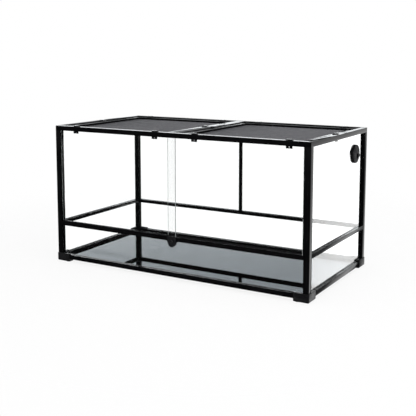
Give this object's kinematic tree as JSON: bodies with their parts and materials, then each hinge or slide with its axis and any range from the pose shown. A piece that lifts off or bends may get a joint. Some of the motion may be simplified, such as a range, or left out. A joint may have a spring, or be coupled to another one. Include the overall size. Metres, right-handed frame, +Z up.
{
  "type": "glass terrarium",
  "caption": "Flat-pack glass terrarium in a black frame on corner feet, with sliding front doors, lift-out mesh lids, a door lock and a cable port.",
  "frame": {"origin": "centre of the footprint, on the surface that the rubber pads stand on", "axes": "+X to the right along the width, +Y from the doors to the back, +Z up"},
  "size_m": [1.2, 0.61, 0.6023],
  "materials": {
    "frame_black": "gloss",
    "shoe_plastic": "satin",
    "track_plastic": "satin",
    "lock_plastic": "satin",
    "clip_plastic": "satin",
    "port_plastic": "satin",
    "pad_rubber": "matte",
    "screw_steel": "satin",
    "lock_metal": "polished",
    "mesh_metal": "satin",
    "wall_glass": "clear",
    "door_glass": "clear",
    "base_glass": "polished",
    "jamb_clear": "clear"
  },
  "bodies": {
    "frame": {"shoe_front_left": "shoe_plastic", "shoe_front_right": "shoe_plastic", "shoe_back_left": "shoe_plastic", "shoe_back_right": "shoe_plastic", "foot_pads": "pad_rubber", "post_front_left": "frame_black", "post_front_right": "frame_black", "post_back_left": "frame_black", "post_back_right": "frame_black", "bottom_rail_front": "frame_black", "bottom_rail_back": "frame_black", "bottom_rail_left": "frame_black", "bottom_rail_right": "frame_black", "door_sill": "frame_black", "mid_rail_back": "frame_black", "mid_rail_left": "frame_black", "mid_rail_right": "frame_black", "top_rail_front": "frame_black", "top_rail_back": "frame_black", "top_rail_left": "frame_black", "top_rail_right": "frame_black", "top_centre_bar": "frame_black", "back_centre_post": "frame_black", "corner_connectors": "clip_plastic", "frame_pins": "screw_steel", "shoe_screws": "screw_steel", "floor_pane": "base_glass", "lower_pane_front": "wall_glass", "lower_pane_back": "wall_glass", "lower_pane_left": "wall_glass", "lower_pane_right": "wall_glass", "upper_pane_left": "wall_glass", "upper_pane_right": "wall_glass", "upper_pane_back_left": "wall_glass", "upper_pane_back_right": "wall_glass", "lower_track": "track_plastic", "upper_track": "track_plastic", "door_jamb_left": "jamb_clear", "door_jamb_right": "jamb_clear", "lock_body": "lock_plastic", "cable_port_flange": "port_plastic", "cable_port_sleeve": "port_plastic", "cable_port_gasket": "pad_rubber", "cable_port_nut": "port_plastic"},
    "left_door": {"left_door": "door_glass", "left_door_glide": "track_plastic"},
    "right_door": {"right_door": "door_glass", "right_door_glide": "track_plastic"},
    "left_lid": {"left_lid_frame": "frame_black", "left_lid_mesh": "mesh_metal", "left_lid_retainer": "clip_plastic", "left_lid_clips": "clip_plastic"},
    "right_lid": {"right_lid_frame": "frame_black", "right_lid_mesh": "mesh_metal", "right_lid_retainer": "clip_plastic", "right_lid_clips": "clip_plastic"},
    "port_dial": {"cable_port_dial": "port_plastic"},
    "lock_plug": {"lock_plug": "lock_metal"}
  },
  "joints": [
    {"name": "left_door_slide", "type": "slide", "parent": "frame", "child": "left_door", "axis": [1, 0, 0], "range_m": [0, 0.555]},
    {"name": "right_door_slide", "type": "slide", "parent": "frame", "child": "right_door", "axis": [1, 0, 0], "range_m": [-0.545, 0]},
    {"name": "left_lid_lift", "type": "slide", "parent": "frame", "child": "left_lid", "axis": [0, 0, 1], "range_m": [0, 0.12]},
    {"name": "right_lid_lift", "type": "slide", "parent": "frame", "child": "right_lid", "axis": [0, 0, 1], "range_m": [0, 0.12]},
    {"name": "port_dial_turn", "type": "hinge", "parent": "frame", "child": "port_dial", "pos_m": [0.592, 0.186, 0.5], "axis": [1, 0, 0], "range_deg": [0, 90]},
    {"name": "lock_turn", "type": "hinge", "parent": "frame", "child": "lock_plug", "pos_m": [0, -0.3, 0.1585], "axis": [0, 1, 0], "range_deg": [-90, 0]}
  ]
}
